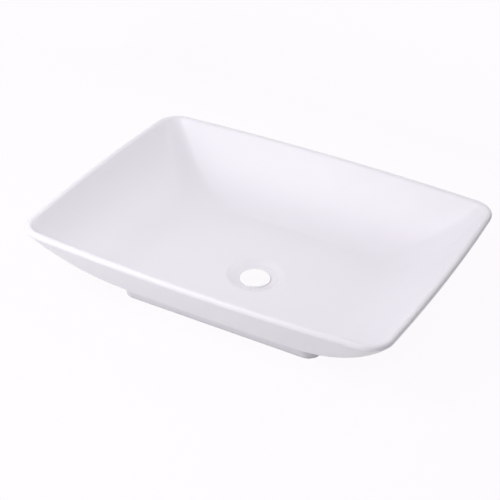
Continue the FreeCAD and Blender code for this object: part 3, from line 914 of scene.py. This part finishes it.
class BASIN_OT_mechanism(Operator):
    """Builds the sleeve, spring, stem and latch ring of the push-to-close mechanism"""
    bl_idname = "basin.mechanism"
    bl_label = "Push Mechanism"

    def execute(self, context):
        waste, finish = context.scene.basin_waste, context.scene.basin_finish
        brass = turned_metal("turned_brass", finish.brass, roughness=0.22)
        steel = turned_metal("spring_wire", finish.steel, roughness=0.25)
        acetal = moulded_material("latch_acetal", finish.acetal, roughness=0.35, grain=500.0)
        finish_piece("brass_sleeve", self.sleeve(waste), "basin", brass, "cartridge_sleeve")
        finish_piece("coil_spring", self.spring(waste, steel), "basin", steel, "cartridge_spring")
        finish_piece("brass_stem", self.stem(waste), "plug", brass, "plug_stem")
        finish_piece("toothed_latch", self.latch(waste, acetal), "plug", acetal, "latch_ring")
        return {"FINISHED"}

    def sleeve(self, waste):
        """Closed tube with a spigot below and a lip above."""
        low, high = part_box("cartridge_sleeve")
        outer, bore, spigot = box_radius("cartridge_sleeve"), 5.2 * MM, waste.spigot_radius
        hole, lip_z = waste.stem_radius + 0.3 * MM, high.z - 2.0 * MM
        shoulder, floor = -waste.arm_drop, -waste.arm_drop + 2.0 * MM
        return lathe_mesh("brass_sleeve", [
            (0.0, low.z, 0.0), (spigot, low.z, 0.4 * MM), (spigot, shoulder, 0.1 * MM), (outer, shoulder, 0.4 * MM),
            (outer, high.z, 0.8 * MM), (hole, high.z, 0.2 * MM), (hole, lip_z, 0.2 * MM), (bore, lip_z, 0.2 * MM),
            (bore, floor, 0.3 * MM), (0.0, floor, 0.0)], ROD_SEGMENTS)

    def spring(self, waste, material):
        """Wound wire under the piston."""
        low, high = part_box("cartridge_spring")
        wire = waste.spring_wire / 2
        return grow(coil_tree(), DRAIN + Vector((0, 0, low.z + wire)), material=material, turns=waste.spring_coils,
                    coil_radius=box_radius("cartridge_spring") - wire, wire_radius=wire,
                    height=high.z - low.z - 2 * wire, resolution=48)

    def stem(self, waste):
        """Rod with its piston."""
        low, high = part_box("plug_stem")
        stem, piston, piston_top = waste.stem_radius, box_radius("plug_stem"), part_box("latch_ring")[0].z
        return lathe_mesh("brass_stem", [
            (0.0, low.z, 0.0), (piston, low.z, 0.3 * MM), (piston, piston_top, 0.3 * MM), (stem, piston_top, 0.1 * MM),
            (stem, high.z, 0.3 * MM), (0.0, high.z, 0.0)], ROD_SEGMENTS)

    def latch(self, waste, material):
        """Collar on the piston with a ring of teeth that start inside it."""
        low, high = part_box("latch_ring")
        stem, piston, tooth = waste.stem_radius, box_radius("plug_stem"), waste.tooth_height
        sunk, gap = 0.2 * MM, 0.2 * MM
        collar = washer_mesh("latch_collar", stem, piston, low.z, high.z - tooth, 0.15 * MM)
        width = math.pi * piston / waste.latch_teeth - gap
        teeth = flat(grow(spoke_tree(), DRAIN, count=waste.latch_teeth, material=material,
                          size=(piston - stem - 0.5 * MM, width, tooth + sunk),
                          place=((piston + stem) / 2 - 0.05 * MM, 0.0, high.z - (tooth + sunk) / 2)))
        turn = Matrix.Translation(DRAIN) @ Matrix.Rotation(math.pi / waste.latch_teeth, 4, "Z")
        teeth.transform(turn @ Matrix.Translation(-DRAIN))
        return joined("toothed_latch", collar, teeth)


class BASIN_OT_plug(Operator):
    """Builds the plug cap and the seal under it"""
    bl_idname = "basin.plug"
    bl_label = "Plug"

    def execute(self, context):
        scene = context.scene
        waste, finish = scene.basin_waste, scene.basin_finish
        radius, seal = box_radius("plug_cap"), box_radius("plug_seal")
        seal_z, cap_z = (corner.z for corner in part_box("plug_seal"))
        boss, stem, skirt = waste.boss_radius, waste.stem_radius, radius - 0.5 * MM
        skirt_z = flange_height(scene, radius) + 0.06 * MM
        socket_z = CAP_LOW.z + 4.0 * MM
        mesh = lathe_mesh("white_plug_cap", [
            (0.0, socket_z, 0.0), (stem, socket_z, 0.1 * MM), (stem, CAP_LOW.z, 0.2 * MM), (boss, CAP_LOW.z, 0.4 * MM),
            (boss, cap_z, 0.2 * MM), (skirt, cap_z, 0.1 * MM), (skirt, skirt_z, 0.05 * MM),
            (radius, skirt_z, 0.1 * MM), (radius, CAP_HIGH.z, 0.9 * MM), (0.0, CAP_HIGH.z, 0.0)])
        finish_piece("white_plug_cap", mesh, "plug", coat_material("white_cap", finish.cap), "plug_cap")
        slope, soft = math.tan(scene.basin_shape.cone_angle), 0.2 * MM
        mesh = lathe_mesh("silicone_seal", [
            (boss, seal_z, soft), (seal - (cap_z - seal_z) / slope, seal_z, 0.3 * MM),
            (seal, cap_z - (radius - seal) * slope, soft), (seal, cap_z, soft), (boss, cap_z, soft)])
        silicone = moulded_material("seal_silicone", finish.pale_rubber, roughness=0.5, grain=700.0)
        finish_piece("silicone_seal", mesh, "plug", silicone, "plug_seal")
        return {"FINISHED"}


class BASIN_OT_stage(Operator):
    """Builds the floor, cards, lamps, sky and camera"""
    bl_idname = "basin.stage"
    bl_label = "Studio Stage"

    def execute(self, context):
        scene = context.scene
        stage = scene.basin_stage
        self.make_floor(stage)
        self.make_sky(scene, stage)
        self.make_cards(stage)
        self.make_lamps(stage)
        self.make_camera(scene, stage)
        scene.view_settings.view_transform = "Standard"
        return {"FINISHED"}

    def put(self, name, data):
        """Object of the stage."""
        thing = bpy.data.objects.new(name, data)
        bpy.context.collection.objects.link(thing)
        return thing

    def make_floor(self, stage):
        """White floor with a cut-out under the hollow foot, clear when seen from below."""
        z, reach, cut_out = -0.2 * MM, (6.0, 6.0), (0.149, 0.126)
        points = []
        for x, y in (reach, cut_out):
            points.extend([(-x, -y, z), (x, -y, z), (x, y, z), (-x, y, z)])
        mesh = new_mesh("studio_floor", points, ring_faces(0, 4, 4), smooth=False)
        material = bpy.data.materials.new("studio_floor")
        material.use_nodes = True
        tree = material.node_tree
        shader = tree.nodes["Principled BSDF"]
        shader.inputs["Base Color"].default_value = (0.86, 0.86, 0.86, 1.0)
        shader.inputs["Roughness"].default_value = 0.9
        plain = tree.nodes.new("ShaderNodeEmission")
        plain.inputs["Color"].default_value = (1.0, 0.98, 1.0, 1.0)
        seen = math_node(tree, "MULTIPLY", seen_rays(tree), stage.floor_white)
        above = mixed_shader(tree, seen, shader.outputs["BSDF"], plain.outputs["Emission"])
        clear = tree.nodes.new("ShaderNodeBsdfTransparent").outputs["BSDF"]
        under = tree.nodes.new("ShaderNodeNewGeometry").outputs["Backfacing"]
        tree.links.new(mixed_shader(tree, under, above, clear), tree.nodes["Material Output"].inputs["Surface"])
        mesh.materials.append(material)
        self.put("studio_floor", mesh)

    def make_sky(self, scene, stage):
        """Sky that grows lighter towards the back, plain white where it is seen."""
        scene.world = bpy.data.worlds.new("studio_sky")
        scene.world.use_nodes = True
        tree = scene.world.node_tree
        light, plain = tree.nodes["Background"], tree.nodes.new("ShaderNodeBackground")
        for background in (light, plain):
            background.inputs["Color"].default_value = (1.0, 1.0, 1.0, 1.0)
        split = tree.nodes.new("ShaderNodeSeparateXYZ")
        tree.links.new(tree.nodes.new("ShaderNodeTexCoord").outputs["Generated"], split.inputs["Vector"])
        behind = math_node(tree, "MAXIMUM", split.outputs["Y"], 0.0)
        tree.links.new(math_node(tree, "MULTIPLY_ADD", behind, stage.sky_back, stage.sky), light.inputs["Strength"])
        shown = mixed_shader(tree, seen_rays(tree), light.outputs["Background"], plain.outputs["Background"])
        tree.links.new(shown, tree.nodes["World Output"].inputs["Surface"])

    def make_cards(self, stage):
        """Dark cards at the right and behind, unseen by the camera, that darken the edges there."""
        material = bpy.data.materials.new("dark_card")
        material.use_nodes = True
        shader = material.node_tree.nodes["Principled BSDF"]
        shader.inputs["Base Color"].default_value = (*stage.card, 1.0)
        shader.inputs["Roughness"].default_value = 1.0
        for name, first, last, height in (("right_card", (0.46, -0.45), (0.46, 0.8), 0.36),
                                          ("back_card", (-0.6, 0.55), (0.46, 0.55), 0.16)):
            corners = [(*first, 0.0), (*last, 0.0), (*last, height), (*first, height)]
            mesh = new_mesh(name, corners, [(0, 1, 2, 3)], smooth=False)
            mesh.materials.append(material)
            card = self.put(name, mesh)
            card.visible_camera = False

    def make_lamps(self, stage):
        """Softboxes that all face the bowl."""
        bowl = Vector((0.0, 0.0, 0.06))
        for name, watts, place, size in (
                ("key_softbox", stage.key, (-2.0, -2.0, 1.3), (2.0, 1.6)),
                ("near_softbox", stage.near, (-0.38, -0.7, 0.9), (0.3, 0.3)),
                ("back_softbox", stage.back, (1.2, 1.6, 1.9), (2.0, 1.6))):
            lamp = bpy.data.lights.new(name, "AREA")
            lamp.shape = "RECTANGLE"
            lamp.size, lamp.size_y = size
            lamp.energy = watts
            softbox = self.put(name, lamp)
            softbox.location = place
            softbox.rotation_euler = (bowl - softbox.location).to_track_quat("-Z", "Y").to_euler()

    def make_camera(self, scene, stage):
        """Camera of the photograph, turned by its azimuth, elevation and roll."""
        data = bpy.data.cameras.new("photo_camera")
        data.sensor_width = 36.0
        data.lens = stage.lens
        azimuth, elevation, roll = stage.camera_turn
        ahead = Vector((-math.sin(azimuth) * math.cos(elevation), math.cos(azimuth) * math.cos(elevation),
                        -math.sin(elevation)))
        right = Vector((math.cos(azimuth), math.sin(azimuth), 0.0))
        up = right.cross(ahead)
        right, up = math.cos(roll) * right + math.sin(roll) * up, math.cos(roll) * up - math.sin(roll) * right
        turn = Matrix((right, up, -ahead)).transposed()
        scene.camera = self.put("photo_camera", data)
        scene.camera.matrix_world = Matrix.Translation(Vector(stage.camera_place)) @ turn.to_4x4()


class BASIN_PT_sidebar(Panel):
    """Lists the steps that build the basin"""
    bl_idname = "BASIN_PT_sidebar"
    bl_label = "Countertop Basin"
    bl_space_type = "VIEW_3D"
    bl_region_type = "UI"
    bl_category = "Basin"

    def draw(self, context):
        for operator in OPERATORS:
            self.layout.operator(operator.bl_idname)


OPERATORS = (BASIN_OT_ceramic, BASIN_OT_waste_body, BASIN_OT_rings, BASIN_OT_back_nut, BASIN_OT_mechanism,
             BASIN_OT_plug, BASIN_OT_stage)
GROUPS = {
    "basin_shape": BasinShape,
    "basin_waste": WasteShape,
    "basin_finish": BasinFinish,
    "basin_stage": StudioStage,
}


def register():
    for group in GROUPS.values():
        bpy.utils.register_class(group)
    for name, group in GROUPS.items():
        setattr(bpy.types.Scene, name, PointerProperty(type=group))
    for operator in OPERATORS:
        bpy.utils.register_class(operator)
    bpy.utils.register_class(BASIN_PT_sidebar)


def unregister():
    bpy.utils.unregister_class(BASIN_PT_sidebar)
    for operator in reversed(OPERATORS):
        bpy.utils.unregister_class(operator)
    for name, group in GROUPS.items():
        delattr(bpy.types.Scene, name)
        bpy.utils.unregister_class(group)


def main():
    register()
    bpy.ops.basin.ceramic()
    bpy.ops.basin.waste_body()
    bpy.ops.basin.rings()
    bpy.ops.basin.back_nut()
    bpy.ops.basin.mechanism()
    bpy.ops.basin.plug()
    bpy.ops.basin.stage()


if __name__ == "__main__":
    main()
